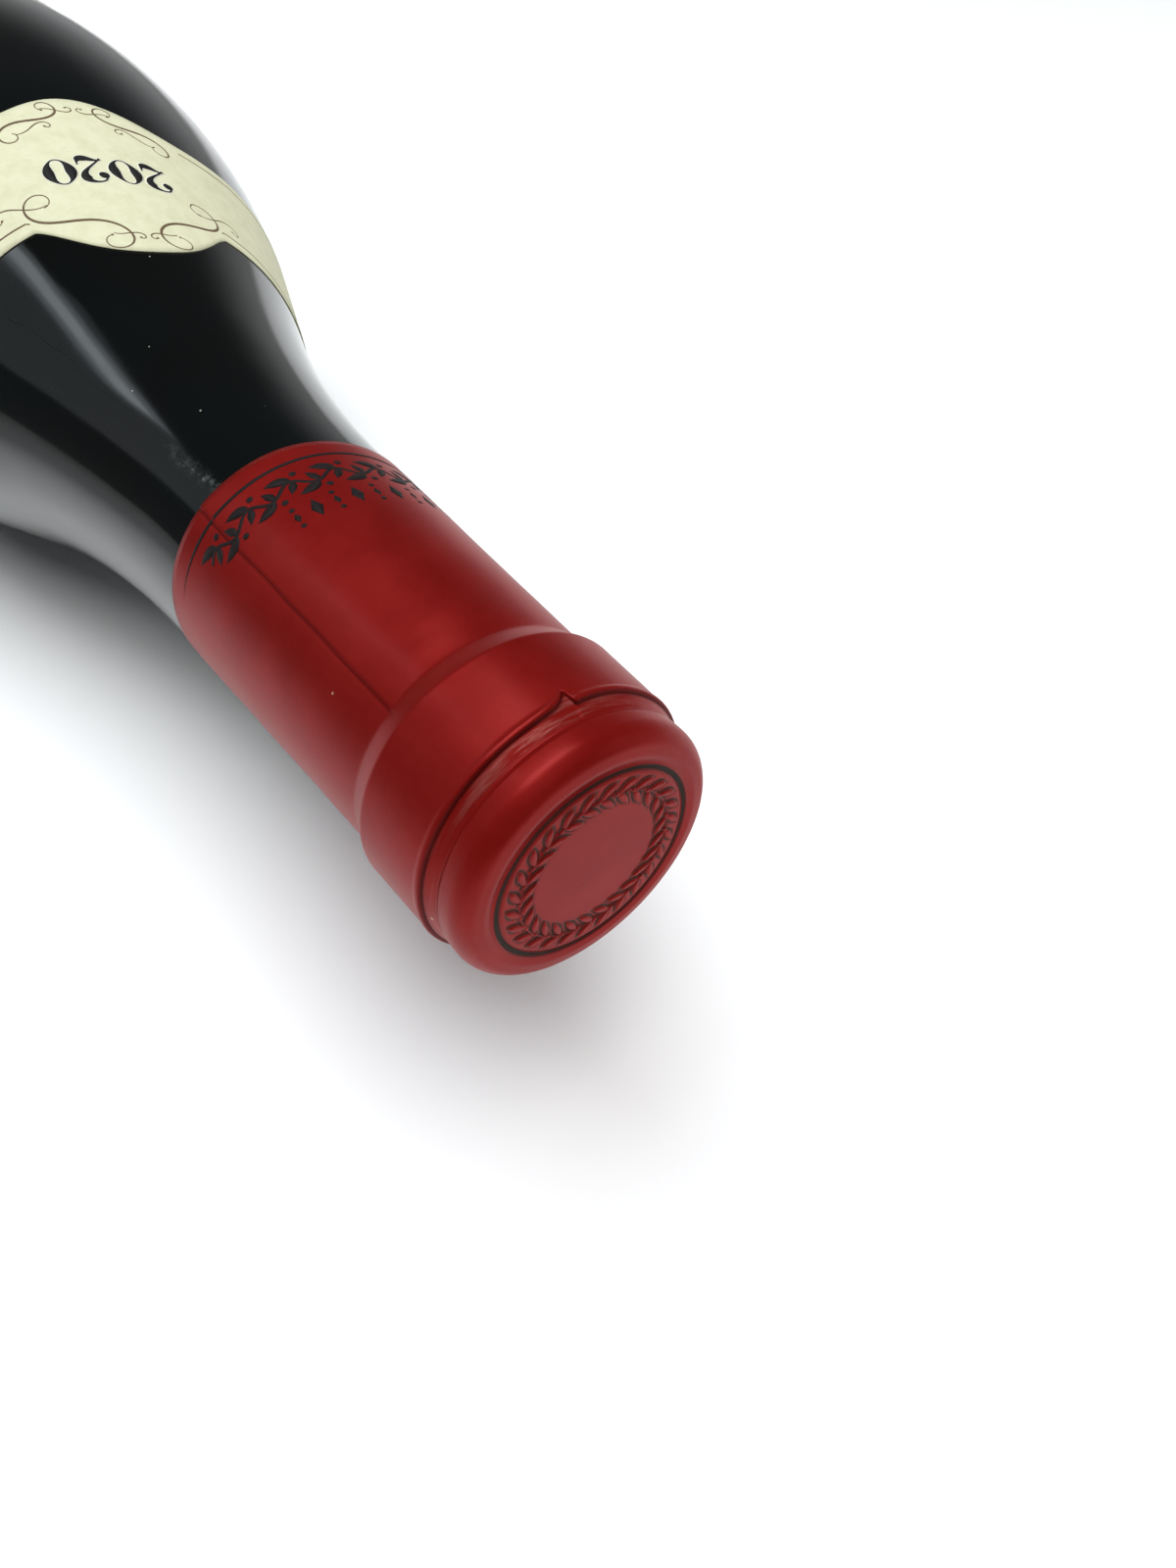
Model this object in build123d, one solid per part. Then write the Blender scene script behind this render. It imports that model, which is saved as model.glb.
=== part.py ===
"""Full wine bottle of the sloping-shouldered kind, lying on its side, in millimetres.

The bottle's axis runs along X with the mouth at +X. It rests on a narrow flat along its lowest line.
The origin is below the middle of the bottle, on the surface it lies on, with +Z up.
"Depth" is always the distance from the mouth towards the base, measured along the axis.
"""

from build123d import *
from math import atan2, cos, hypot, sqrt, tan
import os

# Bottle: overall size
HEIGHT = 296.0  # mouth to base
BODY_RADIUS = 41.0
REST_FLAT_WIDTH = 10.0  # flat along the lowest line, which keeps the bottle from rolling

# Bottle: neck and shoulder, as straight runs joined by tangent arcs
NECK_FOOT_DEPTH = 77.9  # where the neck's line meets the shoulder's
NECK_FOOT_RADIUS = 16.05
SHOULDER_FOOT_DEPTH = 150.5  # where the shoulder's line meets the body's
NECK_ROUND = 163.0
SHOULDER_ROUND = 177.0

# Bottle: base
HEEL_ROUND = 6.0
PUNT_RADIUS = 29.0
PUNT_HEIGHT = 22.0
PUNT_RIM_ROUND = 1.5

# Mouth, collar and neck, as the outside of the tin that is spun onto them
LIP_RADIUS = 13.07
LIP_ROUND = 2.3
GROOVE_DEPTH = 4.0  # shallow groove below the lip
GROOVE_RADIUS = 12.85
GROOVE_SLOPE = 0.5
GROOVE_ROUND = 0.3
FOLD_DEPTH = 5.5  # fold in the tin, above which the collar stands proud
FOLD_FOOT_RADIUS = 13.4
FOLD_RUN = 0.15
FOLD_ROUND = 0.1
COLLAR_TOP_RADIUS = 13.72
COLLAR_RADIUS = 14.12
COLLAR_EDGE_DEPTH = 13.9
COLLAR_EDGE_ROUND = 1.0
COLLAR_FOOT_DEPTH = 16.4
COLLAR_FOOT_RADIUS = 13.23
COLLAR_FOOT_ROUND = 1.5

# Capsule: the tin over the mouth and neck
CAPSULE_LENGTH = 52.0
CAPSULE_WALL = 0.2
CAPSULE_TOP = 0.6  # tin and its pressed relief, over the mouth
CAPSULE_FIT = 0.06  # clearance between tin and glass
DISC_GROOVE_RADIUS = 9.77  # ring pressed into the flat top
DISC_GROOVE_WIDTH = 0.55
DISC_GROOVE_SINK = 0.3

# Labels: paper glued round the shoulder and the body
PAPER = 0.12
GLUE = 0.03
LABEL_TURN = 14.5  # degrees from straight up to the middle of both labels, towards +Y

# Neck label: a band with a rounded lobe in the middle of each long edge
BAND_TOP_DEPTH = 102.3
BAND_FOOT_DEPTH = 126.3
BAND_WAIST_DEPTH = 123.0
BAND_END_HEIGHT = 3.0  # how far above the axis the band's ends stop
TOP_LOBE_DEPTH = 94.5
TOP_LOBE_HALF_WIDTH = 11.8
FOOT_LOBE_DEPTH = 126.5
WAIST_HALF_WIDTH = 13.5
BAND_FLARE_HALF_WIDTH = 29.0
TOP_CROWN_HANDLE = 0.55  # curve handles, as shares of the width or rise of their own curve
TOP_SIDE_HANDLE = 0.75
TOP_SIDE_RISE = 0.7
FOOT_CROWN_HANDLE = 0.4
FOOT_SIDE_HANDLE = 0.65
FLARE_INNER_HANDLE = 0.35
FLARE_OUTER_HANDLE = 0.3

# Front label: a plain rectangle on the straight part of the body
FRONT_LABEL_TOP_DEPTH = 186.0
FRONT_LABEL_HEIGHT = 84.0
FRONT_LABEL_WIDTH = 94.0  # along the paper

MOUTH_X = HEIGHT / 2
REST_SINK = BODY_RADIUS - sqrt(BODY_RADIUS**2 - (REST_FLAT_WIDTH / 2) ** 2)
AXIS_HEIGHT = BODY_RADIUS - REST_SINK
ROUNDED_SHARE = 0.98  # most of a straight run that the arcs at its two ends may take together
GLASS_INSET = CAPSULE_WALL + CAPSULE_FIT


def place(depth, radius):
    """A point of a turned outline: the axis along X, the radius along Y."""
    return (MOUTH_X - depth, radius)


def corner_tangent(before, corner, after, rounding):
    """Length that an arc of the given radius takes from each run at a corner."""
    turn = atan2(after[1] - corner[1], after[0] - corner[0])
    turn -= atan2(corner[1] - before[1], corner[0] - before[0])
    return abs(rounding * tan(turn / 2))


def fitted_rounds(corners):
    """Arc radii of the corners, made smaller only where two arcs would not fit on the run between them."""
    points = [(depth, radius) for depth, radius, _ in corners]
    rounds = [rounding for _, _, rounding in corners]
    tangents = [0.0] * len(corners)
    for i in range(1, len(corners) - 1):
        tangents[i] = corner_tangent(points[i - 1], points[i], points[i + 1], rounds[i])
    scales = [1.0] * len(corners)
    for i in range(len(corners) - 1):
        run = hypot(points[i + 1][0] - points[i][0], points[i + 1][1] - points[i][1])
        needed = tangents[i] + tangents[i + 1]
        if needed > ROUNDED_SHARE * run:
            share = ROUNDED_SHARE * run / needed
            scales[i] = min(scales[i], share)
            scales[i + 1] = min(scales[i + 1], share)
    return [rounding * scale for rounding, scale in zip(rounds, scales)][1:-1]


def half_section(corners):
    """The face between the axis and corners (depth, radius, rounding) that start and end on it."""
    points = [place(depth, radius) for depth, radius, _ in corners]
    outline = FilletPolyline(*points, radius=fitted_rounds(corners))
    return make_face(outline + Line(outline @ 1, outline @ 0))


def turned(corners):
    """A solid of revolution about X."""
    return revolve(half_section(corners), Axis.X)


def finish_corners(inset, top, folded):
    """Corners of the mouth and collar, `inset` inside the tin's outside and with the flat top at depth `top`."""
    corners = [
        (top, LIP_RADIUS - inset, LIP_ROUND - inset),
        (GROOVE_DEPTH - GROOVE_SLOPE, LIP_RADIUS - inset, GROOVE_ROUND),
        (GROOVE_DEPTH, GROOVE_RADIUS - inset, GROOVE_ROUND),
    ]
    if folded:
        corners += [
            (FOLD_DEPTH - FOLD_RUN, FOLD_FOOT_RADIUS - inset, FOLD_ROUND),
            (FOLD_DEPTH, COLLAR_TOP_RADIUS - inset, FOLD_ROUND),
        ]
    else:
        corners += [
            (FOLD_DEPTH, FOLD_FOOT_RADIUS - inset, FOLD_ROUND),
            (FOLD_DEPTH + COLLAR_TOP_RADIUS - FOLD_FOOT_RADIUS, COLLAR_TOP_RADIUS - inset, FOLD_ROUND),
        ]
    corners += [
        (COLLAR_EDGE_DEPTH, COLLAR_RADIUS - inset, COLLAR_EDGE_ROUND),
        (COLLAR_FOOT_DEPTH, COLLAR_FOOT_RADIUS - inset, COLLAR_FOOT_ROUND),
    ]
    return corners


def bottle_corners(grow=0.0):
    """Corners of the whole glass, or of the same shape grown outwards for what is laid on it."""
    finish = [
        (depth, radius + grow, rounding)
        for depth, radius, rounding in finish_corners(GLASS_INSET, CAPSULE_TOP + CAPSULE_FIT, False)
    ]
    body = [
        (NECK_FOOT_DEPTH, NECK_FOOT_RADIUS + grow, NECK_ROUND),
        (SHOULDER_FOOT_DEPTH, BODY_RADIUS + grow, SHOULDER_ROUND),
        (HEIGHT, BODY_RADIUS + grow, HEEL_ROUND),
    ]
    mouth = (CAPSULE_TOP + CAPSULE_FIT, 0.0, 0.0)
    return [mouth] + finish + body + [(HEIGHT, 0.0, 0.0)]


def neck_radius(depth):
    """Radius of the glass on the straight run between the collar and the shoulder."""
    top = COLLAR_FOOT_RADIUS - GLASS_INSET
    share = (depth - COLLAR_FOOT_DEPTH) / (NECK_FOOT_DEPTH - COLLAR_FOOT_DEPTH)
    return top + (NECK_FOOT_RADIUS - top) * share


def make_glass():
    """The bottle: solid to its outside, with the punt in its base and the flat that it lies on."""
    dome_radius = (PUNT_RADIUS**2 + PUNT_HEIGHT**2) / (2 * PUNT_HEIGHT)
    dome = Pos(-MOUTH_X + PUNT_HEIGHT - dome_radius, 0) * Circle(dome_radius)
    section = half_section(bottle_corners()) - dome
    rim = section.vertices().sort_by_distance((-MOUTH_X, PUNT_RADIUS, 0))[0]
    section = fillet(rim, PUNT_RIM_ROUND)
    glass = revolve(section, Axis.X)
    keep = Pos(0, 0, BODY_RADIUS) * Box(2 * HEIGHT, 4 * BODY_RADIUS, 2 * (BODY_RADIUS + AXIS_HEIGHT))
    return glass & keep


def make_capsule():
    """The tin: a cup over mouth, collar and neck, crimped under the lip, with a ring pressed into its top."""
    outer_skirt = neck_radius(CAPSULE_LENGTH) + GLASS_INSET
    inner_skirt = neck_radius(CAPSULE_LENGTH) + CAPSULE_FIT
    outer = turned(
        [(0.0, 0.0, 0.0)]
        + finish_corners(0.0, 0.0, True)
        + [(CAPSULE_LENGTH, outer_skirt, 0.0), (CAPSULE_LENGTH, 0.0, 0.0)]
    )
    inner = turned(
        [(CAPSULE_TOP, 0.0, 0.0)]
        + finish_corners(CAPSULE_WALL, CAPSULE_TOP, False)
        + [(CAPSULE_LENGTH, inner_skirt, 0.0), (CAPSULE_LENGTH, 0.0, 0.0)]
    )
    groove = turned_ring(DISC_GROOVE_RADIUS, DISC_GROOVE_WIDTH, DISC_GROOVE_SINK)
    return outer - inner - groove


def turned_ring(radius, width, sink):
    """A ring of rectangular section, sunk into the flat top from just above it."""
    section = Pos(MOUTH_X, radius) * Rectangle(2 * sink, width)
    return revolve(section, Axis.X)


def on_label(half_width, depth):
    """A point of a label's outline, seen square to its middle: along the axis and across it."""
    return (MOUTH_X - depth, half_width)


def neck_label_outline():
    """Half of the band's outline, from the top lobe's crown round the wing to the foot lobe's crown."""
    width = 2 * BODY_RADIUS
    lobe_rise = BAND_TOP_DEPTH - TOP_LOBE_DEPTH
    top_lobe = Bezier(
        on_label(0, TOP_LOBE_DEPTH),
        on_label(TOP_CROWN_HANDLE * TOP_LOBE_HALF_WIDTH, TOP_LOBE_DEPTH),
        on_label(TOP_SIDE_HANDLE * TOP_LOBE_HALF_WIDTH, TOP_LOBE_DEPTH + TOP_SIDE_RISE * lobe_rise),
        on_label(TOP_LOBE_HALF_WIDTH, BAND_TOP_DEPTH),
    )
    wing = Polyline(
        top_lobe @ 1,
        on_label(width, BAND_TOP_DEPTH),
        on_label(width, BAND_FOOT_DEPTH),
        on_label(BAND_FLARE_HALF_WIDTH, BAND_FOOT_DEPTH),
    )
    flare_run = BAND_FLARE_HALF_WIDTH - WAIST_HALF_WIDTH
    flare = Bezier(
        wing @ 1,
        on_label(BAND_FLARE_HALF_WIDTH - FLARE_OUTER_HANDLE * flare_run, BAND_FOOT_DEPTH),
        on_label(WAIST_HALF_WIDTH + FLARE_INNER_HANDLE * flare_run, BAND_WAIST_DEPTH),
        on_label(WAIST_HALF_WIDTH, BAND_WAIST_DEPTH),
    )
    foot_lobe = Bezier(
        flare @ 1,
        on_label(FOOT_SIDE_HANDLE * WAIST_HALF_WIDTH, BAND_WAIST_DEPTH),
        on_label(FOOT_CROWN_HANDLE * WAIST_HALF_WIDTH, FOOT_LOBE_DEPTH),
        on_label(0, FOOT_LOBE_DEPTH),
    )
    return top_lobe + wing + flare + foot_lobe


def laid_paper(outline, end_height):
    """Paper glued on the glass: the outline pressed straight onto it, with its ends `end_height` above the axis."""
    stamp = extrude(Pos(0, 0, end_height) * outline, 2 * BODY_RADIUS)
    paper = (turned(bottle_corners(GLUE + PAPER)) & stamp) - turned(bottle_corners(GLUE))
    return Rot(-LABEL_TURN, 0, 0) * paper


def make_neck_label():
    """The band round the shoulder."""
    half = neck_label_outline()
    outline = make_face(half + mirror(half, Plane.XZ))
    return laid_paper(outline, BAND_END_HEIGHT)


def make_front_label():
    """The rectangle on the body."""
    half_angle = FRONT_LABEL_WIDTH / 2 / BODY_RADIUS
    middle = MOUTH_X - FRONT_LABEL_TOP_DEPTH - FRONT_LABEL_HEIGHT / 2
    outline = Pos(middle, 0) * Rectangle(FRONT_LABEL_HEIGHT, 4 * BODY_RADIUS)
    return laid_paper(outline, BODY_RADIUS * cos(half_angle))


PARTS = {
    "glass_bottle": make_glass,
    "capsule": make_capsule,
    "neck_label": make_neck_label,
    "front_label": make_front_label,
}

os.makedirs("parts", exist_ok=True)
for node, make in PARTS.items():
    export_step(Pos(0, 0, AXIS_HEIGHT) * make(), f"parts/{node}.step")
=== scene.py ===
"""The looks of a full wine bottle lying on its side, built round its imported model.

Every piece is made in the bottle's own measure, millimetres from the middle of its mouth: "depth"
runs along the axis towards the base, "turn" is the angle round the axis from straight up towards +Y,
and "radius" is the distance from the axis. seat() then moves a finished piece into the shared frame,
in metres.
"""

from bisect import bisect_right
from math import acos, asin, atan2, cos, degrees, exp, hypot, pi, radians, sin, tan

import bmesh
import bpy
from mathutils import Matrix, Vector, noise
from mathutils.geometry import interpolate_bezier


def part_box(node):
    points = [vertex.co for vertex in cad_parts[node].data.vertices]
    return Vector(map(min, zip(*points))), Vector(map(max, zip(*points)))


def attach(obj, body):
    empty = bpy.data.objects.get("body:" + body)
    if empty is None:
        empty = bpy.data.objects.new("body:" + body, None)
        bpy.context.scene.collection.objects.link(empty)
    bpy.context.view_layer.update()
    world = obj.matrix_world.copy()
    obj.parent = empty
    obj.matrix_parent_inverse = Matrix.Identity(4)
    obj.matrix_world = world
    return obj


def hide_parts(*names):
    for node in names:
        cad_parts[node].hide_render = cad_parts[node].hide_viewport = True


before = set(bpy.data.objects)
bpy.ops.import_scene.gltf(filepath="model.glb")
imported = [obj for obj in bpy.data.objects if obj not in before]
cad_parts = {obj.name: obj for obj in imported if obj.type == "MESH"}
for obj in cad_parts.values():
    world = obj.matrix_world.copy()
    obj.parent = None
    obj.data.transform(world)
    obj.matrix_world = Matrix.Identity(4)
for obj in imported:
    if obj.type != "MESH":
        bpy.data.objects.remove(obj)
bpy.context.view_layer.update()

# ---- sizes that the frame gives ----
MM = 0.001
CAPSULE_LOW, CAPSULE_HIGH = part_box("capsule")
GLASS_LOW, GLASS_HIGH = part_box("glass_bottle")
MOUTH = Vector((CAPSULE_HIGH.x, 0.0, (CAPSULE_LOW.z + CAPSULE_HIGH.z) / 2))
CAPSULE_LENGTH = (CAPSULE_HIGH.x - CAPSULE_LOW.x) / MM
HEIGHT = (MOUTH.x - GLASS_LOW.x) / MM
BODY_RADIUS = (GLASS_HIGH.y - GLASS_LOW.y) / 2 / MM
AXIS_HEIGHT = MOUTH.z / MM

# ---- glass, in millimetres ----
NECK_FOOT = (77.9, 16.05)
SHOULDER_FOOT_DEPTH = 150.5
NECK_ROUND = 163.0
SHOULDER_ROUND = 177.0
HEEL_ROUND = 6.0
PUNT_RADIUS = 29.0
PUNT_HEIGHT = 22.0
PUNT_RIM_ROUND = 1.5
PUNT_RINGS = 24
GLASS_STEPS = 280
GLASS_ROW = 3.0
# Lines in the glass: first and last depth, turn at the start, drift in degrees per mm, waver, width.
FLOW_LINES = (
    (53.0, 132.0, -27.5, -0.205, 2.2, 0.50),
    (54.0, 96.0, -43.0, 0.02, 0.6, 0.16),
)

# ---- tin capsule ----
TIN = 0.2
TIN_AND_FIT = 0.26
TIN_STEPS = 480
LEAST_TIN_OVER_GLASS = 0.14
LIP_RADIUS = 13.07
LIP_ROUND = 2.3
GROOVE = (4.0, 12.85)
FOLD_DEPTH = 5.5
FOLD_FOOT_RADIUS = 13.4
COLLAR_TOP_RADIUS = 13.72
COLLAR_EDGE = (13.9, 14.12)
COLLAR_FOOT = (16.4, 13.23)
DISC_GROOVE_RADIUS = 9.77
DISC_GROOVE_HALF_WIDTH = 0.28
DISC_GROOVE_SINK = 0.3
DISC_SINK = 0.2
SEAM_TURN = -38.7
NOTCH_TURN = 8.0
WREATH_RADIUS = 7.65
WREATH_CELLS = 26
WREATH_HEIGHT = 0.20
WREATH_OUTSIDE = 9.4
LEAF_HALF_LENGTH = 1.12
LEAF_HALF_WIDTH = 0.40
LEAF_SLANT = 38.0
# Creases pressed across the neck: depth, slope in mm per degree, height, width.
NECK_CREASES = ((20.9, 0.016, 0.035, 0.32), (19.4, 0.035, 0.028, 0.26))

# ---- labels ----
PAPER_LIFT = 0.15
PAPER = 0.12
LABEL_TURN = 14.5
BAND_TOP_DEPTH = 102.3
BAND_FOOT_DEPTH = 126.3
BAND_WAIST_DEPTH = 123.0
BAND_END_HEIGHT = 3.0
TOP_LOBE_DEPTH = 94.5
TOP_LOBE_HALF_WIDTH = 11.8
FOOT_LOBE_DEPTH = 126.5
WAIST_HALF_WIDTH = 13.5
BAND_FLARE_HALF_WIDTH = 29.0
FRONT_TOP_DEPTH = 186.0
FRONT_HEIGHT = 84.0
FRONT_WIDTH = 94.0

# ---- printing ----
INK = 0.012
PRINT_LIFT = PAPER_LIFT + 0.014
YEAR_DEPTH = 111.0
YEAR_SIZE = 5.1
YEAR_PITCH = 4.0
# Scrolls on one half of the band: start, end, how far each end winds up, greatest width.
SCROLLS = (
    ((9.8, 5.6), (4.1, 12.8), 400, -380, 0.42),
    ((9.4, 5.3), (15.0, 4.6), -70, 300, 0.20),
    ((3.8, 12.5), (1.0, 13.7), 60, -260, 0.20),
    ((9.0, -8.6), (4.1, -12.7), -400, 380, 0.42),
    ((8.7, -8.3), (4.8, -9.2), 80, -300, 0.20),
    ((4.4, -12.9), (1.0, -13.4), -60, 260, 0.20),
)
# Scrolls in one corner of the front label, in the same order.
CORNER_SCROLLS = (
    ((37, 33), (22, 34.5), 330, -300, 0.5),
    ((38.5, 31), (39, 18), -330, 300, 0.5),
    ((30, 29), (35.5, 24), 260, -260, 0.4),
)
CAPSULE_PRINT_TURN = 45.0
CAPSULE_LINE_DEPTH = 49.2
VINE_DEPTH = 45.5
VINE_HALF_LENGTH = 24.0
VINE_PITCH = 4.8
LOZENGE_DEPTH = 40.9
LOZENGE_PITCH = 2.1

# ---- camera and light ----
CAMERA_FROM_MOUTH = (38.89, -30.33, 66.89)
CAMERA_DOWN = 43.67
CAMERA_HEADING = 51.43
KEY_TOWARDS = (0.26, -0.04, 0.965)
SOFTBOX_AIM = (-70.0, 0.0, 0.0)
SOFTBOX_COLOUR = (0.86, 0.95, 1.0)
# Lamps: name, compass bearing, elevation, distance, width, height, radiance.
SOFTBOXES = (
    ("window", -152, 46, 1.3, 0.08, 0.42, 1.7),
    ("window_edge", -152, 46, 1.31, 0.17, 0.46, 0.85),
    ("window_glow", -134, 37, 1.35, 0.90, 0.85, 0.30),
    ("ceiling", -170, 75, 0.9, 0.70, 0.38, 4.2),
    ("side", 50, 25, 1.2, 0.7, 0.6, 0.35),
)
DARK_HORIZON = (0.08, 0.082, 0.085)
LIGHT_HORIZON = (0.40, 0.405, 0.41)
ZENITH = (0.06, 0.062, 0.065)


# ======== small shape tools ========


def smooth(value, low, high):
    """0 below low, 1 above high, easing between them."""
    share = min(max((value - low) / (high - low), 0.0), 1.0)
    return share * share * (3 - 2 * share)


def bell(value, middle, width):
    """A bump of height 1 round the middle."""
    return exp(-(((value - middle) / width) ** 2))


def rounded(corners, arc_step=1.5):
    """Points of a line through corners (depth, radius, rounding), each rounding in steps of degrees."""
    points = [corners[0][:2]]
    for before, corner, after in zip(corners, corners[1:], corners[2:]):
        here = Vector(corner[:2])
        to_before = (Vector(before[:2]) - here).normalized()
        to_after = (Vector(after[:2]) - here).normalized()
        half_open = to_before.angle(to_after) / 2
        turn = pi - 2 * half_open
        if corner[2] == 0 or turn < 1e-4:
            points.append(tuple(here))
            continue
        start = here + to_before * (corner[2] / tan(half_open))
        centre = here + (to_before + to_after).normalized() * (corner[2] / sin(half_open))
        side = 1 if to_before.cross(to_after) < 0 else -1
        steps = max(3, int(degrees(turn) / arc_step))
        spoke = start - centre
        for i in range(steps + 1):
            angle = side * turn * i / steps
            swung = Vector((
                spoke.x * cos(angle) - spoke.y * sin(angle),
                spoke.x * sin(angle) + spoke.y * cos(angle),
            ))
            points.append(tuple(centre + swung))
    points.append(corners[-1][:2])
    return points


def densified(points, gap):
    """The same line with no step longer than the gap."""
    out = [points[0]]
    for (d0, r0), (d1, r1) in zip(points, points[1:]):
        steps = max(1, int(hypot(d1 - d0, r1 - r0) / gap))
        out += [(d0 + (d1 - d0) * i / steps, r0 + (r1 - r0) * i / steps) for i in range(1, steps + 1)]
    return out


def lookup(points):
    """A function of the first number of each point that gives the second, straight between points."""
    keys = [p[0] for p in points]

    def at(value):
        i = min(max(bisect_right(keys, value), 1), len(keys) - 1)
        (k0, v0), (k1, v1) = points[i - 1], points[i]
        share = (value - k0) / (k1 - k0) if k1 > k0 else 0.0
        return v0 + (v1 - v0) * min(max(share, 0.0), 1.0)

    return at


def finish_corners(inset, folded):
    """Corners of the mouth, collar and neck on the tin's outside, or inset from it."""
    corners = [
        (3.5, LIP_RADIUS - inset, 0.5),
        (GROOVE[0], GROOVE[1] - inset, 0.3),
    ]
    if folded:
        corners += [(FOLD_DEPTH - 0.15, FOLD_FOOT_RADIUS, 0.1), (FOLD_DEPTH, COLLAR_TOP_RADIUS, 0.1)]
    else:
        corners += [(FOLD_DEPTH + 0.32, COLLAR_TOP_RADIUS - inset, 0.1)]
    corners += [
        (COLLAR_EDGE[0], COLLAR_EDGE[1] - inset, 1.0),
        (COLLAR_FOOT[0], COLLAR_FOOT[1] - inset, 1.5),
    ]
    return corners


GLASS_OUTLINE = rounded(
    [(0.66, 0.0, 0.0), (0.66, LIP_RADIUS - TIN_AND_FIT, 2.0)]
    + finish_corners(TIN_AND_FIT, False)
    + [(*NECK_FOOT, NECK_ROUND), (SHOULDER_FOOT_DEPTH, BODY_RADIUS, SHOULDER_ROUND)]
    + [(HEIGHT, BODY_RADIUS, HEEL_ROUND), (HEIGHT, PUNT_RADIUS, 0.0)],
    arc_step=1.6,
)
glass_radius = lookup(GLASS_OUTLINE[1:-1])


def on_bottle(depth, turn, radius):
    """A point in the bottle's own measure, with the turn in degrees."""
    angle = radians(turn)
    return Vector((-depth, radius * sin(angle), radius * cos(angle)))


def polar(point):
    """Depth, turn in degrees and radius of a point in the bottle's own measure."""
    return -point.x, degrees(atan2(point.y, point.z)), hypot(point.y, point.z)


# ======== making and placing pieces ========


def seat(name, bm, finish, replaces=None, closed=True):
    """Turns a finished bmesh into a piece that rides with the bottle."""
    bmesh.ops.remove_doubles(bm, verts=bm.verts, dist=1e-4)
    if closed:
        bmesh.ops.recalc_face_normals(bm, faces=bm.faces)
    bmesh.ops.transform(bm, matrix=Matrix.Translation(MOUTH) @ Matrix.Scale(MM, 4), verts=bm.verts)
    for face in bm.faces:
        face.smooth = True
    mesh = bpy.data.meshes.new(name)
    bm.to_mesh(mesh)
    bm.free()
    piece = bpy.data.objects.new(name, mesh)
    bpy.context.scene.collection.objects.link(piece)
    mesh.materials.append(finish)
    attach(piece, "root")
    if replaces:
        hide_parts(replaces)
    return piece


def spun(outline, steps):
    """A bmesh turned about the axis from an outline of (depth, radius)."""
    bm = bmesh.new()
    verts = [bm.verts.new(on_bottle(depth, 0.0, radius)) for depth, radius in outline]
    edges = [bm.edges.new(pair) for pair in zip(verts, verts[1:])]
    bmesh.ops.spin(
        bm, geom=verts + edges, cent=(0, 0, 0), axis=(1, 0, 0), angle=2 * pi, steps=steps, use_merge=True
    )
    bmesh.ops.remove_doubles(bm, verts=bm.verts, dist=1e-4)
    return bm


# ======== shader tools ========


class Number:
    """A number that varies over a surface: arithmetic on it adds Math nodes."""

    def __init__(self, nodes, socket):
        self.nodes = nodes
        self.socket = socket

    def math(self, operation, *values):
        node = self.nodes.node("ShaderNodeMath", {"operation": operation}, dict(enumerate(values)))
        return Number(self.nodes, node.outputs[0])

    def __add__(self, other):
        return self.math("ADD", self, other)

    def __sub__(self, other):
        return self.math("SUBTRACT", self, other)

    def __rsub__(self, other):
        return self.math("SUBTRACT", other, self)

    def __mul__(self, other):
        return self.math("MULTIPLY", self, other)

    __radd__ = __add__
    __rmul__ = __mul__

    def above(self, low, high):
        """0 below low, 1 above high."""
        inputs = {0: self, 1: low, 2: high}
        node = self.nodes.node("ShaderNodeMapRange", {"interpolation_type": "SMOOTHSTEP"}, inputs)
        return Number(self.nodes, node.outputs[0])


class Nodes:
    """A node tree, cleared, and the one way that nodes are added to it."""

    def __init__(self, tree):
        self.tree = tree
        self.tree.nodes.clear()

    def node(self, kind, settings=None, inputs=None):
        made = self.tree.nodes.new(kind)
        for name, value in (settings or {}).items():
            setattr(made, name, value)
        for name, value in (inputs or {}).items():
            self.feed(made.inputs[name.replace("_", " ") if isinstance(name, str) else name], value)
        return made

    def feed(self, socket, value):
        if isinstance(value, Number):
            value = value.socket
        if isinstance(value, bpy.types.NodeSocket):
            self.tree.links.new(value, socket)
        elif socket.type == "RGBA":
            socket.default_value = (*value, 1.0)
        else:
            socket.default_value = value

    def blend(self, first, second, share):
        made = self.node("ShaderNodeMix", {"data_type": "RGBA"}, {0: share, 6: first, 7: second})
        return made.outputs[2]

    def axes(self, vector):
        """The three parts of a vector, as numbers."""
        made = self.node("ShaderNodeSeparateXYZ", {}, {0: vector})
        return [Number(self, made.outputs[name]) for name in "XYZ"]


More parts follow.
